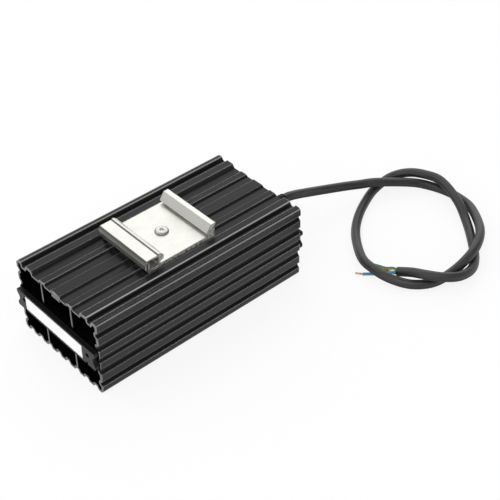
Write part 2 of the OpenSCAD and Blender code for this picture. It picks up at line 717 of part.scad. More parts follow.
// Sliding latch: a channel over the flange, with the lip on its right wall
module clip_latch() {
  top = seat_z + latch_h;
  low = seat_z + latch_gap;
  lip = latch_seat_x + lip_reach;
  left = latch_left_x;
  bevel_z = spring_z + pin_r + pin_gap;
  bevel_in = bevel_w * (top - latch_t - bevel_z) / (top - bevel_z);
  outline = [
    [left, low], [left, bevel_z], [left + bevel_w, top],
    [latch_front_x - crease_w / 2, top], [latch_front_x, top - crease_d],
    [latch_front_x + crease_w / 2, top + lobe_h],
    [latch_front_x + crease_w / 2 + lobe_w, top + lobe_h],
    [lip, top - lip_fall], [lip, seat_z + rail_slot + latch_lip_rise],
    [latch_seat_x, seat_z + rail_slot], [latch_seat_x, low], [latch_front_x, low],
    [latch_front_x, top - latch_t], [left + latch_t + bevel_in, top - latch_t],
    [left + latch_t, bevel_z], [left + latch_t, low]
  ];
  color([0.9, 0.9, 0.88]) along_y(rounded(outline, latch_edge_r, 3), clip_w);
}
module guide_pins() {
  color([0.7, 0.7, 0.72])
    for (side = [-1, 1])
      rod_x(latch_left_x + latch_t, latch_front_x, pin_r, side * pin_y, spring_z);
}
module latch_springs() {
  steps = 12;
  count = spring_turns * steps;
  first_x = spring_x0 + spring_end + spring_wire / 2;
  last_x = latch_front_x - spring_end - spring_wire / 2;
  r = spring_r - spring_wire / 2;
  color([0.6, 0.6, 0.62])
    for (side = [-1, 1])
      tube([for (i = [0:count])
        [first_x + (last_x - first_x) * i / count,
         side * pin_y + r * cos(360 * i / steps), spring_z + r * sin(360 * i / steps)]],
        spring_wire / 2, 5, [1, 0, 0]);
}
// Blind rivet: a domed head with a dimple, and a rolled tail round its bore
module clip_rivet() {
  low = plate_z - strip_t;
  foot = low - rivet_tail_t;
  top = seat_z + rivet_head_h;
  rim = seat_z + rivet_head_h / 3;
  crown_r = rivet_bore_r + 0.4;
  dome = [for (a = [0:30:90])
    [crown_r + (rivet_head_r - crown_r) * cos(a), rim + (top - rim) * sin(a)]];
  profile = concat(
    [[0, low], [rivet_bore_r, low], [rivet_bore_r, foot], [rivet_tail_r, foot],
     [rivet_tail_r, low], [rivet_r, low], [rivet_r, seat_z], [rivet_head_r, seat_z]],
    dome,
    [[rivet_bore_r, top], [rivet_bore_r, top - rivet_dimple_d], [0, top - rivet_dimple_d]]);
  color([0.75, 0.75, 0.75]) rotate_extrude($fn = 48) polygon(profile);
}

module strain_relief() {
  bore = cord_r + cord_gap;
  profile = [
    [bore, -cap_t], [neck_r, -cap_t], [neck_r, 0], [neck_r + relief_rim, 0],
    [neck_r + relief_rim, rim_t], [neck_r + 0.4, rim_t + 0.6], [bore + tip_wall, relief_l],
    [bore, relief_l]
  ];
  color([0.1, 0.1, 0.1]) translate([cap_face, 0, mid_z]) rotate([0, 90, 0])
    rotate_extrude($fn = 64) polygon(profile);
}
module cord_jacket() {
  color([0.12, 0.12, 0.13]) translate([bar_end, 0, 0]) tube(smooth(jacket_route), cord_r);
}
// Where a core leaves the jacket's cut end, at an angle round its middle
cut_end = jacket_route[len(jacket_route) - 1];
cut_dir = let (path = smooth(jacket_route)) unit(cut_end - path[len(path) - 2]);
cut_side = unit(cross(cut_dir, [0, 0, 1]));
function core_start(angle) =
  cut_end + end_gap * cut_dir
  + core_ring * (cos(angle) * cut_side + sin(angle) * cross(cut_side, cut_dir));
module core(angle, bends) {
  start = core_start(angle);
  bend = smooth(concat([start + core_r * cut_dir], bends));
  translate([bar_end, 0, 0]) tube(concat([start], bend), core_r);
}
// Bare strands beyond a core's insulation
module copper(bends, tip) {
  end = bends[len(bends) - 1];
  start = end + end_gap * unit(tip - end);
  color([0.85, 0.65, 0.4]) translate([bar_end, 0, 0]) tube([start, (start + tip) / 2, tip], copper_r);
}
module core_live() {
  color([0.4, 0.22, 0.1]) core(270, live_bends);
}
module core_neutral() {
  color([0.3, 0.5, 0.75]) core(150, neutral_bends);
}
module core_earth() {
  color([0.35, 0.55, 0.25]) core(30, earth_bends);
}
module copper_live() {
  copper(live_bends, live_tip);
}
module copper_neutral() {
  copper(neutral_bends, neutral_tip);
}
module copper_earth() {
  copper(earth_bends, earth_tip);
}

housing();
end_cap_front();
end_cap_rear();
gasket_front();
gasket_rear();
seal_pad_front();
seal_pad_rear();
label();
heating_tablets();
tablet_frame();
electrode_upper();
electrode_lower();
insulating_sleeve();
crimp_splices();
lead_live();
lead_neutral();
lead_earth();
earth_lug();
earth_screw();
clip_base();
clip_latch();
guide_pins();
latch_springs();
clip_rivet();
strain_relief();
cord_jacket();
core_live();
core_neutral();
core_earth();
copper_live();
copper_neutral();
copper_earth();
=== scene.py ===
"""Looks of the enclosure air heater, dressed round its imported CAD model.

Blender's lengths are in metres, in the CAD model's frame: X runs along the housing
towards the cord, and Z is up. Lengths that are written in millimetres are multiplied
by MM where they meet Blender.
"""

import json
import math

import bmesh
import bpy
from mathutils import Matrix, Vector


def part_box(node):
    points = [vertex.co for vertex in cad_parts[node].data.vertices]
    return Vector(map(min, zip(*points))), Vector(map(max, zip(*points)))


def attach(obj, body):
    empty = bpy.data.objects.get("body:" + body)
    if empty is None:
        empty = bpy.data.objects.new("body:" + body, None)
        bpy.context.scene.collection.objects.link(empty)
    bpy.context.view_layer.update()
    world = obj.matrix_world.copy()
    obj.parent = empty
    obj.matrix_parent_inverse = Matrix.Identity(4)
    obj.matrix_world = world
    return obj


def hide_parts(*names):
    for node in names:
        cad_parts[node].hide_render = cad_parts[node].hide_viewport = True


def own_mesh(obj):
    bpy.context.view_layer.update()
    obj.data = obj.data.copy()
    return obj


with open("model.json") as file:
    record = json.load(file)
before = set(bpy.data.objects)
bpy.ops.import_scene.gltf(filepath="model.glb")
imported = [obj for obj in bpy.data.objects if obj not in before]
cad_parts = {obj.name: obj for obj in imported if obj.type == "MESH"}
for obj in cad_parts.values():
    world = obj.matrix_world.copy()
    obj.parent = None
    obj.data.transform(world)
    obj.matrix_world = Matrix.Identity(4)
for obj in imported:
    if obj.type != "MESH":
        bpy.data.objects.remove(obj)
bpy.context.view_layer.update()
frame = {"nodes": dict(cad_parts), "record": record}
MM = 0.001
HOUSING_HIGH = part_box("housing")[1]


# Camera

CAMERA_AZIMUTH = math.radians(-41.98)
CAMERA_ELEVATION = math.radians(40.07)
CAMERA_ROLL = math.radians(-0.244)
CAMERA_DISTANCE = 691.02 * MM
CAMERA_RIGHT = 47.215 * MM
CAMERA_UP = 26.933 * MM
CAMERA_LIFT = 0.85 * MM
# Focal length and sensor width, in millimetres as Blender counts them
CAMERA_LENS = 88.58
CAMERA_SENSOR = 36
# The nearest and the farthest that the camera sees, in metres
CAMERA_CLIP = (0.01, 20)


def make_camera():
    """A camera at the photograph's angle, from azimuth, elevation and roll."""
    back = Vector((
        math.sin(CAMERA_AZIMUTH) * math.cos(CAMERA_ELEVATION),
        -math.cos(CAMERA_AZIMUTH) * math.cos(CAMERA_ELEVATION),
        math.sin(CAMERA_ELEVATION),
    ))
    level = (-back).cross(Vector((0, 0, 1))).normalized()
    upright = level.cross(-back)
    right = level * math.cos(CAMERA_ROLL) + upright * math.sin(CAMERA_ROLL)
    up = upright * math.cos(CAMERA_ROLL) - level * math.sin(CAMERA_ROLL)
    place = (back * CAMERA_DISTANCE + right * CAMERA_RIGHT + up * CAMERA_UP
             + Vector((0, 0, CAMERA_LIFT)))
    data = bpy.data.cameras.new("camera")
    data.lens = CAMERA_LENS
    data.sensor_width = CAMERA_SENSOR
    data.clip_start, data.clip_end = CAMERA_CLIP
    camera = bpy.data.objects.new("camera", data)
    turn = Matrix((right, up, back)).transposed().to_4x4()
    camera.matrix_world = Matrix.Translation(place) @ turn
    bpy.context.scene.collection.objects.link(camera)
    bpy.context.scene.camera = camera


make_camera()


# Node tools

class Nodes:
    """A node tree, with short calls for the nodes that it needs."""

    def __init__(self, tree):
        self.tree = tree

    def node(self, kind, inputs=None, **settings):
        """A new node. Its inputs go by name or number, and each is an output to link, a
        number, a colour as a tuple, or a vector as a list."""
        node = self.tree.nodes.new(kind)
        for key, value in settings.items():
            setattr(node, key, value)
        for key, value in (inputs or {}).items():
            if isinstance(value, bpy.types.NodeSocket):
                self.tree.links.new(value, node.inputs[key])
            elif isinstance(value, tuple):
                node.inputs[key].default_value = (*value, 1)
            else:
                node.inputs[key].default_value = value
        return node

    def math(self, operation, *values):
        """The result of Blender's math node for one value or two."""
        node = self.node("ShaderNodeMath", dict(enumerate(values)), operation=operation)
        return node.outputs["Value"]

    def product(self, first, *others):
        """The product of two values or more."""
        for other in others:
            first = self.math("MULTIPLY", first, other)
        return first

    def inverse(self, mask):
        """1 where a mask is 0, and 0 where it is 1."""
        return self.math("SUBTRACT", 1.0, mask)

    def ramp(self, value, low, high, start=0.3, end=0.7):
        """A number that goes from low to high as a value goes from start to end."""
        node = self.node("ShaderNodeMapRange", {
            "Value": value, "From Min": start, "From Max": end,
            "To Min": low, "To Max": high})
        return node.outputs["Result"]

    def rise(self, value, start, end):
        """A mask that is 0 up to the start and 1 from the end."""
        return self.ramp(value, 0.0, 1.0, start, end)

    def fall(self, value, start, end):
        """A mask that is 1 up to the start and 0 from the end."""
        return self.ramp(value, 1.0, 0.0, start, end)

    def beyond(self, length, start, end):
        """A mask that rises from a start to an end in millimetres."""
        return self.rise(length, start * MM, end * MM)

    def within(self, length, start, end):
        """A mask that falls from a start to an end in millimetres."""
        return self.fall(length, start * MM, end * MM)

    def choose(self, share, off, on):
        """A mix of two shaders, by the share of the second."""
        return self.node("ShaderNodeMixShader", {0: share, 1: off, 2: on}).outputs[0]


class Shader(Nodes):
    """A Principled material and the nodes that feed it."""

    EDGE_SAMPLES = 6
    OPENNESS_SAMPLES = 8
    # A face that is clearer than this is not made duller
    CLEAR_ENOUGH = 0.9

    def __init__(self, name, **values):
        """The values are inputs that are the same all over, each set on its socket."""
        self.material = bpy.data.materials.new(name)
        self.material.use_nodes = True
        super().__init__(self.material.node_tree)
        self.bsdf = self.tree.nodes["Principled BSDF"]
        self.place = self.node("ShaderNodeTexCoord")
        for key, value in values.items():
            self.bsdf.inputs[key.replace("_", " ")].default_value = value

    def feed(self, socket_name, source):
        """Links an output to an input of the shader itself."""
        self.tree.links.new(source, self.bsdf.inputs[socket_name])

    def axis(self, output, letter):
        """One component of a texture coordinate."""
        split = self.node("ShaderNodeSeparateXYZ", {0: self.place.outputs[output]})
        return split.outputs[letter]

    def noise(self, size, stretch=(1, 1, 1), detail=3.0, rough=0.5, output="Object"):
        """Noise with features about size millimetres across, times the stretch."""
        where = self.node("ShaderNodeMapping", {
            "Vector": self.place.outputs[output],
            "Scale": [1 / (MM * s) for s in stretch]})
        noise = self.node("ShaderNodeTexNoise", {
            "Vector": where.outputs["Vector"], "Scale": 1 / size,
            "Detail": detail, "Roughness": rough})
        return noise.outputs["Fac"]

    def tones(self, value, low, high, start=0.3, end=0.7):
        """A colour that goes from low to high as a value goes from start to end."""
        node = self.node("ShaderNodeValToRGB", {"Fac": value})
        first, last = node.color_ramp.elements
        first.position, first.color = start, (*low, 1)
        last.position, last.color = end, (*high, 1)
        return node.outputs["Color"]

    def mix(self, mask, under, over):
        """A colour, and over it another where a mask is 1."""
        node = self.node("ShaderNodeMix", {0: mask, 6: under, 7: over}, data_type="RGBA")
        return node.outputs[2]

    def edges(self, radius, slight, full):
        """1 along edges, within a radius in millimetres, 0 on faces. The last two are
        cosines: of a turn too slight to count, and of one that counts in full."""
        rounded = self.node("ShaderNodeBevel", {"Radius": radius * MM},
                            samples=self.EDGE_SAMPLES)
        flat = self.node("ShaderNodeNewGeometry")
        turn = self.node("ShaderNodeVectorMath", {
            0: rounded.outputs["Normal"], 1: flat.outputs["True Normal"]},
            operation="DOT_PRODUCT")
        return self.fall(turn.outputs["Value"], full, slight)

    def openness(self, reach, closed, open_from):
        """0 in recesses, 1 on faces with nothing within a reach in millimetres."""
        around = self.node("ShaderNodeAmbientOcclusion", {"Distance": reach * MM},
                           samples=self.OPENNESS_SAMPLES, only_local=True)
        return self.rise(around.outputs["AO"], closed, open_from)

    def dulled(self, roughness, clear, dullest=0.95):
        """A roughness that goes up to the dullest where a mask of clear faces is 0."""
        dullness = self.ramp(clear, dullest, 0.0, 0.0, self.CLEAR_ENOUGH)
        return self.math("MAXIMUM", roughness, dullness)

    def bump(self, *layers):
        """Stacks height layers, each (height, strength, depth in millimetres)."""
        below = {}
        for height, strength, depth in layers:
            node = self.node("ShaderNodeBump", {
                "Height": height, "Strength": strength, "Distance": depth * MM, **below})
            below = {"Normal": node.outputs["Normal"]}
        self.feed("Normal", below["Normal"])


# Housing's finish

BAR_Z = HOUSING_HIGH[2] / 2
# Borders on the housing's section, in millimetres. Each is soft: its mask changes between
# its two numbers. A rise counts up or down from the middle of the bar, and a breadth
# counts out from the centre line.
# The outer skin of the level walls and of the upright ones
SKIN_RISE = (21.0, 21.4)
SKIN_BREADTH = (32.7, 33.1)
# The rise or breadth, times how much a face is turned that way: over 0, it looks out
FACING_OUT = (0, 2)
# The lands that stand proud, whose edges get a painted highlight and no painted shade
PROUD_RISE = (22.2, 22.5)
PROUD_BREADTH = (34.3, 34.6)
# The upper wall's lands
TOP_LANDS_RISE = (22.8, 23.3)
# The sawn ends of the walls, above and below the bar's
OFF_BAR_RISE = (7.5, 9.5)
# Painted highlight lines along the upper wall's edges: where they run, along Y, how far
# to each side they reach, and how strongly they show
HIGHLIGHT_LINES_Y = (31.2, -26.2, -34.5)
HIGHLIGHT_LINE_REACH = (0.2, 0.45)
HIGHLIGHT_LINE_SHARE = 0.9
# Painted shade: how far the faces in recesses, in creases and inside the channels turn
# to a metal of a near black colour, so that they mirror next to nothing
PAINTED_SHADE_METAL = 0.8
PAINTED_SHADE_BLACK = (0.001, 0.001, 0.001)


def black_tone(s):
    """The anodised black: streaks along the extrusion, and broad clouds."""
    streaks = s.noise(1.6, (300, 1, 1), detail=2.0)
    cloud = s.noise(16, (2, 1, 1), detail=2.0)
    dark = s.tones(cloud, (0.0045, 0.0045, 0.005), (0.0075, 0.0075, 0.008))
    return s.mix(s.rise(streaks, 0.35, 0.68), dark, (0.011, 0.011, 0.0115))


def outer_skin(s, above, across):
    """A mask of the walls' outer faces: far out, and turned outwards."""
    level = s.product(
        s.beyond(s.math("ABSOLUTE", above), *SKIN_RISE),
        s.beyond(s.product(above, s.axis("Normal", "Z")), *FACING_OUT))
    upright = s.product(
        s.beyond(s.math("ABSOLUTE", across), *SKIN_BREADTH),
        s.beyond(s.product(across, s.axis("Normal", "Y")), *FACING_OUT))
    return s.math("MAXIMUM", level, upright)


def anodised():
    """Black anodised extrusion: die lines along X, sawn ends, painted highlights along
    edges, and painted shade in recesses, creases and inner faces.
    """
    s = Shader("black_anodised", Specular_IOR_Level=0.26)
    lines = s.noise(0.22, (400, 1, 1), detail=2.0)
    grain = s.noise(0.12, detail=2.0)
    saw_marks = s.noise(0.35, (1, 1, 30))
    patchy = s.ramp(s.noise(3.5, (150, 1, 1), detail=2.0), 0.4, 1.0, 0.38, 0.62)
    across = s.axis("Object", "Y")
    above = s.math("SUBTRACT", s.axis("Object", "Z"), BAR_Z)
    rise = s.math("ABSOLUTE", above)
    outside = outer_skin(s, above, across)
    proud = s.math("MAXIMUM", s.beyond(rise, *PROUD_RISE),
                   s.beyond(s.math("ABSOLUTE", across), *PROUD_BREADTH))
    edge = s.edges(0.8, 0.994, 0.965)
    corner = s.product(edge, s.inverse(proud))
    # Painted shade: faces in recesses, in creases and inside the channels are made near
    # black and turn to a dark metal.
    clear = s.product(s.openness(5, 0.35, 0.85), outside, s.inverse(corner))

    colour = s.mix(clear, PAINTED_SHADE_BLACK, black_tone(s))
    # Painted highlight along the edges of the proud lands.
    colour = s.mix(s.product(edge, proud, patchy, outside), colour, (0.44, 0.44, 0.43))
    # Painted highlight lines along the upper wall's lands.
    for line_y in HIGHLIGHT_LINES_Y:
        off = s.math("ABSOLUTE", s.math("SUBTRACT", across, line_y * MM))
        highlight_line = s.product(s.within(off, *HIGHLIGHT_LINE_REACH), HIGHLIGHT_LINE_SHARE,
                           s.beyond(above, *TOP_LANDS_RISE), patchy)
        colour = s.mix(highlight_line, colour, (0.36, 0.355, 0.34))
    facing = s.rise(s.math("ABSOLUTE", s.axis("Normal", "X")), 0.85, 0.95)
    sawn = s.product(facing, s.beyond(rise, *OFF_BAR_RISE))
    end_tone = s.tones(saw_marks, (0.09, 0.09, 0.09), (0.26, 0.26, 0.255))
    s.feed("Base Color", s.mix(sawn, colour, end_tone))
    # Painted shade also turns those faces to metal, so that they mirror next to nothing.
    painted_shade = s.ramp(clear, PAINTED_SHADE_METAL, 0.0, 0.0, 0.8)
    s.feed("Metallic", s.product(painted_shade, s.inverse(sawn)))
    s.feed("Roughness", s.dulled(s.ramp(lines, 0.24, 0.36), clear))
    s.bump((lines, 0.25, 0.012), (grain, 0.12, 0.006), (saw_marks, 0.05, 0.01))
    return s


# Clip's finish

LATCH_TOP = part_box("clip_latch")[1][2]
# Soft borders as above, in millimetres. Down from the latch's top: where the lighter
# painted reflection on its bevel's lower part ends, and where the dark painted reflection on
# its upper part begins
BEVEL_REFLECTION_BAND = (1.75, 1.55)
# Along X: between the latch's side of the clip and the hook's
LATCH_SIDE = (-1, 1)
# Out from the rivet's axis: where the painted shade on the rim of its head begins, and the
# head's own edge
HEAD_RIM = (2.9, 3.4)
HEAD_END = (3.9, 4.1)
# Along X: where the hook begins
HOOK_SIDE = (5, 8)


def painted_bevel_reflection(s):
    """Painted reflection on the latch's bevel, dark along its upper crease and lighter
    below, and a darker painted reflection on other slopes of the clip that face forward.
    """
    reflection_band = s.tones(s.axis("Object", "Z"), (0.72, 0.715, 0.68), (0.20, 0.195, 0.185),
                     LATCH_TOP - BEVEL_REFLECTION_BAND[0] * MM, LATCH_TOP - BEVEL_REFLECTION_BAND[1] * MM)
    on_latch = s.within(s.axis("Object", "X"), *LATCH_SIDE)
    return s.mix(on_latch, (0.46, 0.455, 0.43), reflection_band)


def add_rivet_tone(s, colour, blotch):
    """A colour, and within the head's radius of the Z axis the rivet head's: a blotched
    crown, and painted shade as a darker ring on its rim.
    """
    from_axis = s.math("SQRT", s.math(
        "ADD", s.math("POWER", s.axis("Object", "X"), 2.0),
        s.math("POWER", s.axis("Object", "Y"), 2.0)))
    crown = s.tones(blotch, (0.62, 0.615, 0.58), (0.84, 0.83, 0.79), 0.4, 0.6)
    # Painted shade: a darker ring on the head's rim.
    head = s.mix(s.beyond(from_axis, *HEAD_RIM), crown, (0.42, 0.415, 0.39))
    return s.mix(s.within(from_axis, *HEAD_END), colour, head)


def clip_metal():
    """Bright aluminium, finely brushed along Y, with painted shade in its creases and
    painted dark reflections along its bends and edges.
    """
    s = Shader("clip_metal")
    brush = s.noise(0.14, (1, 60, 1))
    cloud = s.noise(7, detail=2.0)
    scratch = s.noise(0.5, (30, 1, 1), detail=1.0)
    blotch = s.noise(1.8, (1, 3, 1), detail=4.0, rough=0.6)
    tilted = s.fall(s.math("ABSOLUTE", s.axis("Normal", "Z")), 0.9, 0.97)
    forward = s.fall(s.axis("Normal", "X"), -0.8, -0.5)
    cut = s.rise(s.math("ABSOLUTE", s.axis("Normal", "Y")), 0.8, 0.95)

    colour = s.tones(cloud, (0.79, 0.785, 0.735), (0.86, 0.855, 0.805))
    colour = s.mix(s.ramp(scratch, 0.0, 0.35, 0.66, 0.74), colour, (0.62, 0.61, 0.58))
    # Darker blotches, only on faces that are not level.
    unlevel_blotches = s.product(s.ramp(blotch, 0.0, 0.4, 0.42, 0.66), tilted)
    colour = s.mix(unlevel_blotches, colour, (0.76, 0.755, 0.715))
    # Painted reflection: slopes that face forward take the bevel's tones.
    slope = s.product(forward, s.rise(s.axis("Normal", "Z"), 0.2, 0.4))
    colour = s.mix(slope, colour, painted_bevel_reflection(s))
    colour = add_rivet_tone(s, colour, blotch)
    cut_tone = s.tones(blotch, (0.22, 0.215, 0.205), (0.74, 0.73, 0.70), 0.38, 0.58)
    colour = s.mix(cut, colour, cut_tone)
    # Painted shade in creases and recesses.
    colour = s.mix(s.openness(1.2, 0.4, 0.72), (0.24, 0.235, 0.22), colour)
    # Painted dark reflection along bends and edges, in blotches.
    bend_reflection = s.product(s.edges(0.7, 0.998, 0.965), s.ramp(blotch, 0.45, 0.95, 0.3, 0.6))
    s.feed("Base Color", s.mix(bend_reflection, colour, (0.20, 0.195, 0.185)))
    hook_face = s.product(forward, s.beyond(s.axis("Object", "X"), *HOOK_SIDE))
    s.feed("Metallic", s.inverse(s.math("MAXIMUM", s.product(cut, 0.7), hook_face)))
    s.feed("Roughness", s.ramp(brush, 0.28, 0.42))
    s.bump((brush, 0.18, 0.012), (cloud, 0.05, 0.05))
    return s


# Other finishes

# How many times as large as its grain the patches of a plain finish's tone are
PATCHES_PER_GRAIN = 14
# How far a plain finish's roughness goes up and down
GLOSS_SPREAD = 0.08
# How deep a plain finish's grain is, in millimetres
GRAIN_DEPTH = 0.02


def shade(colour, factor):
    """A colour made lighter or darker, up to white."""
    return tuple(min(1.0, c * factor) for c in colour)


def plain(name, colour, roughness, size, mottle=0.12, stretch=(1, 1, 1), grain=0.15,
          **values):
    """A finish with slight changes of tone, gloss and surface.

    The size is that of its grain, in millimetres, the mottle is how much its tone
    changes, and the grain is how strongly its bump shows.
    """
    s = Shader(name, **values)
    fine = s.noise(size, stretch)
    broad = s.noise(size * PATCHES_PER_GRAIN, detail=2.0)
    s.feed("Base Color",
           s.tones(broad, shade(colour, 1 - mottle), shade(colour, 1 + mottle)))
    s.feed("Roughness", s.ramp(fine, roughness - GLOSS_SPREAD, roughness + GLOSS_SPREAD))
    s.bump((fine, grain, GRAIN_DEPTH))
    return s


def cap_plastic():
    """Black moulded plastic with a fine grain, dull in its recesses."""
    s = Shader("black_plastic", Specular_IOR_Level=0.22)
    fine = s.noise(0.3)
    broad = s.noise(0.3 * PATCHES_PER_GRAIN, detail=2.0)
    s.feed("Base Color", s.tones(broad, (0.00572, 0.00572, 0.00616),
                                 (0.00728, 0.00728, 0.00784)))
    s.feed("Roughness", s.dulled(s.ramp(fine, 0.32, 0.48), s.openness(6, 0.55, 0.95)))
    s.bump((fine, 0.25, 0.03))
    return s


def rubber():
    """The cord's jacket: matte rubber with faint lines, dull patches and light specks,
    painted highlights along the lines, and painted shade underneath and where the cord lies
    close to itself.
    """
    s = Shader("jacket_rubber", Specular_IOR_Level=0.55)
    grain = s.noise(0.25, detail=4.0, rough=0.6)
    patches = s.noise(9)
    dust = s.noise(1.1, detail=5.0, rough=0.7)
    streaks = s.noise(1, (130, 60, 1), output="UV")
    tone = s.tones(patches, (0.020, 0.020, 0.022), (0.030, 0.030, 0.032))
    # Painted highlights along the jacket's lengthwise lines.
    tone = s.mix(s.ramp(streaks, 0.0, 0.6, 0.5, 0.7), tone, (0.066, 0.066, 0.069))
    tone = s.mix(s.ramp(dust, 0.0, 0.3, 0.62, 0.8), tone, (0.07, 0.07, 0.074))
    # Painted shade: darker underneath and where the cord lies close to itself.
    lit = s.product(s.openness(5, 0.2, 0.75),
                    s.ramp(s.axis("Normal", "Z"), 0.12, 1.0, -0.1, 0.8))
    s.feed("Base Color", s.mix(lit, (0.004, 0.004, 0.0045), tone))
    s.feed("Roughness", s.dulled(s.ramp(patches, 0.34, 0.46), lit, dullest=0.8))
    s.bump((grain, 0.2, 0.02), (patches, 0.08, 0.1), (streaks, 0.25, 0.15))
    return s


def green_yellow():
    """Insulation of the earth core: green with two lengthwise yellow bands."""
    s = Shader("core_green_yellow", Specular_IOR_Level=0.5)
    wave = s.math("SINE", s.product(s.axis("UV", "X"), 4 * math.pi))
    ragged = s.math("ADD", wave, s.ramp(s.noise(0.6, detail=2.0), -0.15, 0.15))
    s.feed("Base Color", s.mix(s.rise(ragged, 0.42, 0.56),
                               (0.045, 0.20, 0.09), (0.55, 0.52, 0.10)))
    s.feed("Roughness", s.ramp(s.noise(0.3), 0.32, 0.44))
    s.bump((s.noise(0.2), 0.1, 0.01))
    return s


def copper():
    """Bare copper, with a little tarnish along the strands."""
    s = Shader("copper", Metallic=1.0)
    s.feed("Base Color", s.tones(s.noise(0.7), (0.62, 0.38, 0.20), (0.92, 0.70, 0.46)))
    s.feed("Roughness", s.ramp(s.noise(0.1, detail=2.0), 0.22, 0.38))
    s.bump((s.noise(0.08, detail=2.0), 0.12, 0.005))
    return s


def ceramic():
    """Sintered ceramic, speckled."""
    s = Shader("ceramic")
    fine = s.noise(0.15)
    speck = s.noise(0.35, detail=4.0, rough=0.7)
    s.feed("Base Color", s.tones(speck, (0.16, 0.145, 0.13), (0.30, 0.28, 0.255)))
    s.feed("Roughness", s.ramp(fine, 0.67, 0.83))
    s.bump((fine, 0.4, GRAIN_DEPTH))
    return s


def label_white():
    """A bare satin film, very slightly uneven."""
    s = Shader("label_white", Specular_IOR_Level=0.4)
    cloud = s.noise(6, detail=2.0)
    weave = s.noise(0.12, detail=2.0)
    s.feed("Base Color", s.tones(cloud, (0.86, 0.86, 0.86), (0.91, 0.91, 0.905)))
    s.feed("Roughness", s.ramp(weave, 0.38, 0.48))
    s.bump((weave, 0.06, 0.01), (cloud, 0.04, 0.06))
    return s


MATERIALS = {
    "black_anodised": anodised(),
    "black_plastic": cap_plastic(),
    "gasket_rubber": plain("gasket_rubber", (0.008, 0.008, 0.008), 0.8, 0.2, grain=0.3),
    "silicone": plain("silicone", (0.55, 0.16, 0.10), 0.5, 0.5),
    "label_white": label_white(),
    "ceramic": ceramic(),
    "frame_plastic": plain("frame_plastic", (0.75, 0.72, 0.60), 0.5, 0.3, mottle=0.05),
    "bare_aluminium": plain("bare_aluminium", (0.75, 0.76, 0.78), 0.36, 0.15, mottle=0.05,
                            stretch=(40, 1, 1), Metallic=1.0),
    "film": plain("film", (0.60, 0.32, 0.06), 0.22, 0.8, mottle=0.1, grain=0.1,
                  Coat_Weight=0.3, Transmission_Weight=0.25),
    "tinned_metal": plain("tinned_metal", (0.70, 0.70, 0.68), 0.32, 0.4, mottle=0.08,
                          Metallic=1.0),
    "steel": plain("steel", (0.60, 0.60, 0.62), 0.28, 0.2, mottle=0.1, Metallic=1.0),
    "clip_metal": clip_metal(),
    "jacket_rubber": rubber(),
    "core_brown": plain("core_brown", (0.13, 0.07, 0.04), 0.38, 0.3, mottle=0.08, grain=0.1),
    "core_blue": plain("core_blue", (0.09, 0.27, 0.46), 0.36, 0.3, mottle=0.08, grain=0.1),
    "core_green_yellow": green_yellow(),
    "copper": copper(),
}


def dress_cad_nodes():
    """Gives every CAD node the finish of the slot that the record names for it."""
    for row in frame["record"]["subparts"]:
        finish = MATERIALS[row["material_slot"]].material
        for material_slot in frame["nodes"][row["node"]].material_slots:
            material_slot.material = finish


dress_cad_nodes()


# Mesh tools

# Faces that meet at more than this keep a crisp edge between them
SHARP_ANGLE = math.radians(35)
# Points of a turned piece that are closer than this are one
SAME_POINT = 0.001 * MM


def add_piece(name, points, faces, slot, body, uvs=None):
    """Makes an object from points and faces, with a slot's finish and a body."""
    mesh = bpy.data.meshes.new(name)
    mesh.from_pydata([tuple(p) for p in points], [], faces)
    mesh.shade_smooth()
    if uvs:
        layer = mesh.uv_layers.new(name="around")
        for loop in mesh.loops:
            layer.data[loop.index].uv = uvs[loop.vertex_index]
    mesh.materials.append(MATERIALS[slot].material)
    piece = bpy.data.objects.new(name, mesh)
    bpy.context.scene.collection.objects.link(piece)
    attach(piece, body)
    return piece


def sharpen(piece):
    """Keeps edges crisp where faces meet at more than the sharp angle."""
    mesh = piece.data
    normals_at = {}
    for polygon in mesh.polygons:
        for key in polygon.edge_keys:
            normals_at.setdefault(key, []).append(polygon.normal)
    for edge in mesh.edges:
        normals = normals_at.get(edge.key, [])
        if len(normals) == 2 and normals[0].angle(normals[1], 0) > SHARP_ANGLE:
            edge.use_edge_sharp = True


def between(a, b, c, d, t):
    """The point at t on a smooth curve from b to c."""
    return 0.5 * (2 * b + (c - a) * t + (2 * a - 5 * b + 4 * c - d) * t * t
                  + (3 * b - a - 3 * c + d) * t * t * t)


def smooth_path(route, steps):
    """Points of a smooth curve through a route, with a number of steps a span."""
    points = [Vector(p) for p in route]
    last = len(points) - 1
    path = [between(points[max(i - 1, 0)], points[i], points[i + 1],
                    points[min(i + 2, last)], k / steps)
            for i in range(last) for k in range(steps)]
    return path + [points[last]]


def frames_along(path):
    """A pair of cross directions at each point, which turn no more than needed."""
    pairs = []
    side = None
    for i in range(len(path)):
        along = (path[min(i + 1, len(path) - 1)] - path[max(i - 1, 0)]).normalized()
        if side is None:
            side = along.orthogonal()
        side = (side - along * side.dot(along)).normalized()
        pairs.append((side.copy(), along.cross(side)))
    return pairs


def tube_mesh(path, radii, sides):
    """Points, faces and UVs of a closed tube whose radius follows a list."""
    points, faces = [], []
    for centre, (side, up), radius in zip(path, frames_along(path), radii):
        for k in range(sides):
            angle = 2 * math.pi * k / sides
            points.append(centre + radius * (math.cos(angle) * side + math.sin(angle) * up))
    for i in range(len(path) - 1):
        for k in range(sides):
            a, b = i * sides + k, i * sides + (k + 1) % sides
            faces.append((a, b, b + sides, a + sides))
    end = (len(path) - 1) * sides
    faces.append(tuple(range(sides - 1, -1, -1)))
    faces.append(tuple(end + k for k in range(sides)))
    uvs = [(k / sides, i / len(path)) for i in range(len(path)) for k in range(sides)]
    return points, faces, uvs


def add_tube(name, path, radii, sides, slot, body):
    """A closed tube whose radius follows a list, with UVs round it and along it."""
    points, faces, uvs = tube_mesh(path, radii, sides)
    piece = add_piece(name, points, faces, slot, body, uvs)
    sharpen(piece)
    return piece


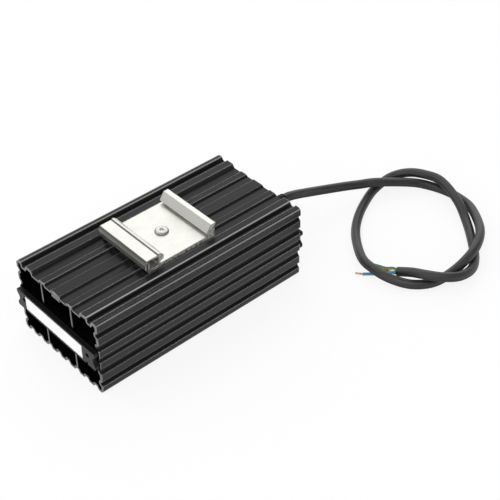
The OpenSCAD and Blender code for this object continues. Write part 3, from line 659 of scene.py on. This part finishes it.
def add_tubes(name, paths, radius, sides, slot, body):
    """Several closed tubes of one radius, as one piece."""
    points, faces = [], []
    for path in paths:
        more, skin, _ = tube_mesh(path, [radius] * len(path), sides)
        faces += [tuple(len(points) + v for v in face) for face in skin]
        points += more
    piece = add_piece(name, points, faces, slot, body)
    sharpen(piece)
    return piece


def close_axis(piece):
    """Joins the points that lie together on a turned piece's axis."""
    shape = bmesh.new()
    shape.from_mesh(piece.data)
    bmesh.ops.remove_doubles(shape, verts=shape.verts, dist=SAME_POINT)
    bmesh.ops.dissolve_degenerate(shape, edges=shape.edges, dist=SAME_POINT)
    shape.to_mesh(piece.data)
    shape.free()


def lathe(name, profile, origin, along, slot, body, sides):
    """A turned piece: a closed profile of (distance along, radius), in millimetres."""
    along = Vector(along)
    side = along.orthogonal().normalized()
    up = along.cross(side)
    points, faces = [], []
    count = len(profile)
    for k in range(sides):
        angle = 2 * math.pi * k / sides
        out = math.cos(angle) * side + math.sin(angle) * up
        points += [Vector(origin) + along * (x * MM) + out * (r * MM) for x, r in profile]
    for k in range(sides):
        a, b = k * count, ((k + 1) % sides) * count
        for i in range(count):
            j = (i + 1) % count
            faces.append((a + i, b + i, b + j, a + j))
    piece = add_piece(name, points, faces, slot, body)
    close_axis(piece)
    sharpen(piece)
    return piece


# Supply cord, in millimetres, with X counted from the housing's rear end

# The housing's rear end itself, in metres
REAR = Vector((HOUSING_HIGH[0], 0, 0))
# Where the cord comes out: its height, and the rear cap's face
MID_Z = 24.0
CAP_FACE = 2.7
# The middle of the jacket, from inside the cap to its cut end
JACKET_ROUTE = [
    (-6, 0, MID_Z), (0, 0, MID_Z), (21, 0, MID_Z), (26.5, 0, MID_Z - 0.8), (33, 0, 21.2),
    (41.5, -0.5, 18.5), (64.5, -4, 12.5), (76.5, -7.8, 10.4), (87, -13.5, 10),
    (105.5, -24.3, 6.5), (114, -32, 4.2), (119, -42.8, 3.1), (119, -54.5, 3.5),
    (115, -66, 5), (101.5, -83, 8.6), (89.5, -92, 9.9), (77, -96.5, 9.3), (63, -96.5, 5.2),
    (49.5, -94, 3), (38.5, -87, 3.2), (31.5, -76.5, 5), (29.5, -65, 6.2), (32.5, -53, 5.7),
    (47, -34.5, 3), (61.5, -23, 3), (79, -14.2, 3), (90, -11.6, 4.2), (101, -12.9, 7),
    (109.7, -19.3, 9.3), (115, -29, 10.2), (116.5, -40, 10.5), (111.5, -57.5, 8),
    (103.5, -72, 4.2), (93, -85, 3.5), (83, -95.5, 3), (71.5, -102.5, 5.2),
    (59.5, -103.4, 7.6), (50, -99, 9.7), (44.5, -91.5, 9.8), (42.2, -83.3, 7.7),
    (39.5, -75, 4.5),
]
CUT_END = Vector(JACKET_ROUTE[-1])
# Each core's place in the jacket in degrees, its bends, its copper's tip and its finish
CORES = {
    "live": (270, [(38.9, -71.5, 2.1), (37.6, -67, 1.2), (35.6, -61.5, 1.2)],
             (34.8, -59.6, 1.2), "core_brown"),
    "neutral": (150, [(36.5, -72, 3.5), (34.2, -68.6, 1.7), (30.5, -64.5, 1.2),
                      (26, -60.5, 1.2)], (23.5, -57, 1.2), "core_blue"),
    "earth": (30, [(40.6, -70.5, 3.5), (39.3, -66, 1.5), (37.3, -60.5, 1.2),
                   (33.8, -53.4, 1.2)], (32.8, -51.6, 1.2), "core_green_yellow"),
}
# Points for each span of a route
PATH_STEPS = 6
CORD_R = 2.8
CORD_SIDES = 24
# The jacket's cut end is bevelled by this much
CUT_BEVEL = 0.12
# Route points nearer to the cap's face than this are left out
EXIT_ROOM = 0.5
CORE_R = 0.9
CORE_SIDES = 16
# Radius of the ring that the cores lie on, and how deep they start in the jacket
CORE_RING = 1.14
CORE_DEPTH = 0.8
# A core's copper is three strands across: one in the middle and six round it
COPPER_R = 0.6
STRAND_R = COPPER_R / 3
OUTER_STRANDS = 6
STRAND_SIDES = 8
STRAND_STEPS = 10
# How deep the strands start in the insulation
STRAND_DEPTH = 0.3
# How far they turn, in radians
STRAND_TWIST = 2.2
# The most that one strand spreads, as a share of its ring, or is cut short
STRAND_SPLAY = 0.12
STRAND_SHORT = 0.12


def placed(path):
    """A path in millimetres from the rear end, in metres in the CAD model's frame."""
    return [REAR + p * MM for p in path]


def make_cord():
    """The strain relief, the jacket outside and inside the cap, its cores and strands."""
    line = smooth_path(JACKET_ROUTE, PATH_STEPS)
    line = [Vector((p.x, p.y, max(p.z, CORD_R))) for p in line]
    direction = (line[-1] - line[-2]).normalized()
    exit_at = Vector((CAP_FACE, 0, MID_Z))
    inner = add_tube("cord_jacket_inside", placed([line[0], exit_at]), [CORD_R * MM] * 2,
                     CORD_SIDES, "jacket_rubber", "heater")
    line = [exit_at] + [p for p in line[:-1] if p.x > CAP_FACE + EXIT_ROOM]
    line += [CUT_END - direction * CUT_BEVEL, CUT_END]
    radii = [CORD_R * MM] * (len(line) - 1) + [(CORD_R - CUT_BEVEL) * MM]
    centres = placed(line)
    jacket = add_tube("cord_jacket_skin", centres, radii, CORD_SIDES, "jacket_rubber",
                      "heater")
    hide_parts("cord_jacket")
    pieces = [make_strain_relief(), inner] + make_cores(direction)


def make_cores(direction):
    """The three cores and their copper, from where the jacket is cut."""
    side = direction.cross(Vector((0, 0, 1))).normalized()
    across = side.cross(direction)
    pieces = []
    for name, (angle, bends, tip, slot) in CORES.items():
        turn = math.radians(angle)
        start = CUT_END + CORE_RING * (math.cos(turn) * side + math.sin(turn) * across)
        way_out = [start - direction * CORE_DEPTH, start + direction * CORE_R]
        line = smooth_path(way_out + [Vector(p) for p in bends], PATH_STEPS)
        core = add_tube(f"core_{name}_skin", placed(line), [CORE_R * MM] * len(line),
                        CORE_SIDES, slot, "heater")
        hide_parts(f"core_{name}")
        pieces += [core, make_strands(name, Vector(bends[-1]), Vector(tip))]
    return pieces


def strand_path(strand, start, tip):
    """One strand's path: the first is straight, and the others wind round it."""
    axis = (tip - start).normalized()
    side = axis.orthogonal().normalized()
    up = axis.cross(side)
    ring = 2 * STRAND_R if strand else 0
    splay = STRAND_SPLAY * math.sin(3.0 * strand)
    short = STRAND_SHORT * abs(math.sin(5.0 * strand))
    path = []
    for i in range(STRAND_STEPS + 1):
        share = i / STRAND_STEPS
        angle = 2 * math.pi * strand / OUTER_STRANDS + STRAND_TWIST * share
        out = ring * (1 + splay * share) * (math.cos(angle) * side + math.sin(angle) * up)
        path.append(start + (tip - start) * share - axis * (short * share) + out)
    return path


def make_strands(name, start, tip):
    """Seven twisted copper strands from inside the insulation to the tip."""
    start = start - (tip - start).normalized() * STRAND_DEPTH
    paths = [placed(strand_path(strand, start, tip)) for strand in range(OUTER_STRANDS + 1)]
    piece = add_tubes(f"copper_{name}_strands", paths, STRAND_R * MM, STRAND_SIDES,
                      "copper", "heater")
    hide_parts(f"copper_{name}")
    return piece


# Strain relief, in millimetres

# Radii of its bore, of the neck in the cap, and of the rim on the cap's face
RELIEF_BORE = 2.9
RELIEF_NECK = 3.9
RELIEF_RIM = 5.1
# Radii of its taper, at the thick end and at the tip
RELIEF_ROOT = 4.25
RELIEF_TIP = 3.4
# Length of the neck, and thickness of the rim
RELIEF_IN_CAP = 2.2
RELIEF_RIM_T = 1.5
# Distances from the cap's face, where the taper starts, the grooves end, and all ends
TAPER_START = 2.6
GROOVES_END = 17.1
RELIEF_LENGTH = 18.0
GROOVES = 7
RELIEF_SIDES = 48
# One rib and the groove behind it: (share of the pitch, drop below the taper)
RIB_AND_GROOVE = ((0, 0.04), (0.08, 0), (0.5, 0), (0.58, 0.05), (0.64, 0.32), (0.9, 0.32),
                  (0.95, 0.08))


def taper_radius(x):
    """Radius of the strain relief's taper at a distance from the cap's face."""
    share = (x - TAPER_START) / (RELIEF_LENGTH - TAPER_START)
    return RELIEF_ROOT + (RELIEF_TIP - RELIEF_ROOT) * share


def make_strain_relief():
    """A tapered sleeve with flex grooves, its rim against the cap."""
    neck, rim, rim_t = RELIEF_NECK, RELIEF_RIM, RELIEF_RIM_T
    profile = [(-RELIEF_IN_CAP, RELIEF_BORE), (-RELIEF_IN_CAP, neck), (0, neck)]
    profile += [(0, rim - 0.15), (0.15, rim), (rim_t - 0.3, rim),
                (rim_t - 0.08, rim - 0.1), (rim_t, rim - 0.35)]
    profile += [(rim_t + 0.1, RELIEF_ROOT + 0.2), (rim_t + 0.6, RELIEF_ROOT)]
    pitch = (GROOVES_END - TAPER_START) / GROOVES
    for i in range(GROOVES):
        for share, drop in RIB_AND_GROOVE:
            x = TAPER_START + (i + share) * pitch
            profile.append((x, taper_radius(x) - drop))
    profile += [(GROOVES_END, taper_radius(GROOVES_END)),
                (RELIEF_LENGTH - 0.2, RELIEF_TIP), (RELIEF_LENGTH, RELIEF_TIP - 0.2),
                (RELIEF_LENGTH, RELIEF_BORE)]
    relief = lathe("strain_relief_ribbed", profile, REAR + Vector((CAP_FACE, 0, MID_Z)) * MM,
                   (1, 0, 0), "black_plastic", "heater", RELIEF_SIDES)
    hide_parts("strain_relief")
    return relief


make_cord()


# Rail clip

SPRING_WIRE_R = 0.225 * MM
SPRING_TURNS = 4
SPRING_STEPS = 20
SPRING_SIDES = 10
# How much closer the coils lie at a spring's ends than in its middle
SPRING_EASE = 0.055
RIVET_SIDES = 64
DOME_STEPS = 8


def spring_path(low, high, outer, sign):
    """One spring's wire, from the flange's end to the latch's."""
    ring = outer - SPRING_WIRE_R
    centre = Vector((0, sign * (high[1] - outer), (low[2] + high[2]) / 2))
    count = SPRING_TURNS * SPRING_STEPS
    path = []
    for i in range(count + 1):
        share = i / count
        eased = share - SPRING_EASE * math.sin(2 * math.pi * share)
        x = low[0] + SPRING_WIRE_R + (high[0] - low[0] - 2 * SPRING_WIRE_R) * eased
        angle = 2 * math.pi * i / SPRING_STEPS
        path.append(centre + Vector((x, ring * math.cos(angle), ring * math.sin(angle))))
    return path


def make_springs():
    """Two coil springs between the flange and the latch."""
    low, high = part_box("latch_springs")
    outer = (high[2] - low[2]) / 2
    paths = [spring_path(low, high, outer, sign) for sign in (-1, 1)]
    springs = add_tubes("latch_coils", paths, SPRING_WIRE_R, SPRING_SIDES, "steel", "heater")
    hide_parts("latch_springs")
    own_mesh(springs)


def make_rivet():
    """The clip's blind rivet: a domed head with a dimple, rolled below."""
    low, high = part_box("clip_rivet")
    head_r = (high[0] - low[0]) / 2 / MM
    top, foot = high[2] / MM, low[2] / MM
    shaft_r, bore_r, tail_r, crown_r = 2.0, 1.0, 3.0, 1.4
    tail_t, rim_h, dome_h = 1.0, 0.4, 0.8
    tail_top = foot + tail_t
    seat = top - rim_h - dome_h
    tail = [(tail_top, 0), (tail_top, bore_r), (foot + 0.2, bore_r), (foot, bore_r + 0.2),
            (foot, tail_r - 0.4), (foot + 0.12, tail_r - 0.12), (foot + 0.4, tail_r),
            (tail_top - 0.15, tail_r), (tail_top, tail_r - 0.15), (tail_top, shaft_r)]
    rim = [(seat, shaft_r), (seat, head_r - 0.1), (seat + 0.1, head_r)]
    dome = []
    for step in range(DOME_STEPS + 1):
        turn = math.pi / 2 * step / DOME_STEPS
        dome.append((seat + rim_h + dome_h * math.sin(turn),
                     crown_r + (head_r - crown_r) * math.cos(turn)))
    dimple = [(top - 0.05, bore_r + 0.12), (top - 0.18, bore_r), (top - 0.42, bore_r - 0.06),
              (top - 0.5, bore_r - 0.25), (top - 0.42, 0.3), (top - 0.4, 0)]
    rivet = lathe("clip_rivet_turned", tail + rim + dome + dimple, (0, 0, 0), (0, 0, 1),
                  "clip_metal", "heater", RIVET_SIDES)
    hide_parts("clip_rivet")


make_springs()
make_rivet()


# Stage

WHITE = (1, 1, 1)
FLOOR_HALF = 3.0
FLOOR_DROP = 0.05 * MM
FLOOR_TONE = (0.85, 0.85, 0.85)
# How far the floor is white, and not lit, where it is seen or mirrored
FLOOR_GLOW = 0.85
ROOM_LIGHT = 0.62
MIRRORED_CEILING = 0.16
MIRRORED_LEFT = 0.2
# Where the mirrored horizon fades to the ceiling, by a direction's Z, and where the left
# side fades to the right one, by its X
CEILING_FADE = (0.05, 0.45)
LEFT_FADE = (-0.8, -0.2)
LAMP_AIM = Vector((0.02, -0.02, 0.03))
LAMP_DISTANCE = 1.8
# Each square lamp's name, direction, side in metres, and radiance, where 1 is white
SOFTBOXES = (
    ("back_softbox", (0.51, 0.57, 0.64), 2.0, 1.08),
    ("hook_softbox", (-0.48, 0.53, 0.70), 1.5, 1.15),
    ("key_softbox", (-0.35, -0.55, 1.0), 1.5, 1.0),
    ("label_softbox", (-1.0, -0.3, 0.45), 1.5, 1.1),
)


def ray_share(nodes, *kinds):
    """1 where a ray is any of the given kinds, and 0 elsewhere."""
    path = nodes.node("ShaderNodeLightPath")
    share = path.outputs[kinds[0]]
    for kind in kinds[1:]:
        share = nodes.math("MAXIMUM", share, path.outputs[kind])
    return share


def make_floor():
    """A pale floor that keeps a soft shadow and shows white in reflections."""
    corners = ((-1, -1), (1, -1), (1, 1), (-1, 1))
    mesh = bpy.data.meshes.new("floor")
    mesh.from_pydata([(x * FLOOR_HALF, y * FLOOR_HALF, 0) for x, y in corners], [],
                     [(0, 1, 2, 3)])
    floor = bpy.data.objects.new("floor", mesh)
    floor.location.z = -FLOOR_DROP
    bpy.context.scene.collection.objects.link(floor)
    material = bpy.data.materials.new("floor")
    material.use_nodes = True
    nodes = Nodes(material.node_tree)
    nodes.tree.nodes.clear()
    matte = nodes.node("ShaderNodeBsdfDiffuse", {"Color": FLOOR_TONE})
    glow = nodes.node("ShaderNodeEmission", {"Color": WHITE, "Strength": 1.0})
    seen = ray_share(nodes, "Is Camera Ray", "Is Glossy Ray", "Is Transmission Ray")
    surface = nodes.choose(nodes.product(seen, FLOOR_GLOW), matte.outputs[0],
                           glow.outputs[0])
    nodes.node("ShaderNodeOutputMaterial", {"Surface": surface})
    mesh.materials.append(material)


def make_world():
    """White where it is seen. Where it is mirrored, white at the horizon, and dim above
    and on the left. For the light, an even room."""
    world = bpy.data.worlds.new("studio")
    bpy.context.scene.world = world
    world.use_nodes = True
    nodes = Nodes(world.node_tree)
    nodes.tree.nodes.clear()

    def background(strength):
        node = nodes.node("ShaderNodeBackground", {"Color": WHITE, "Strength": strength})
        return node.outputs[0]

    place = nodes.node("ShaderNodeTexCoord")
    split = nodes.node("ShaderNodeSeparateXYZ", {0: place.outputs["Generated"]})
    above = nodes.ramp(split.outputs["Z"], 1.0, MIRRORED_CEILING, *CEILING_FADE)
    beside = nodes.ramp(split.outputs["X"], MIRRORED_LEFT, 1.0, *LEFT_FADE)
    unseen = nodes.choose(ray_share(nodes, "Is Glossy Ray"), background(ROOM_LIGHT),
                          background(nodes.product(above, beside)))
    seen = ray_share(nodes, "Is Camera Ray", "Is Transmission Ray")
    surface = nodes.choose(seen, unseen, background(1.0))
    nodes.node("ShaderNodeOutputWorld", {"Surface": surface})


def add_softbox(name, direction, size, radiance):
    """A square lamp that faces the object, and is white at a radiance of 1."""
    data = bpy.data.lights.new(name, "AREA")
    data.shape = "SQUARE"
    data.size = size
    data.energy = radiance * math.pi * size * size
    lamp = bpy.data.objects.new(name, data)
    away = Vector(direction).normalized()
    lamp.location = LAMP_AIM + away * LAMP_DISTANCE
    lamp.rotation_euler = away.to_track_quat("Z", "Y").to_euler()
    lamp.visible_camera = False
    bpy.context.scene.collection.objects.link(lamp)


make_floor()
make_world()
for softbox in SOFTBOXES:
    add_softbox(*softbox)

bpy.context.scene.view_settings.view_transform = "Standard"
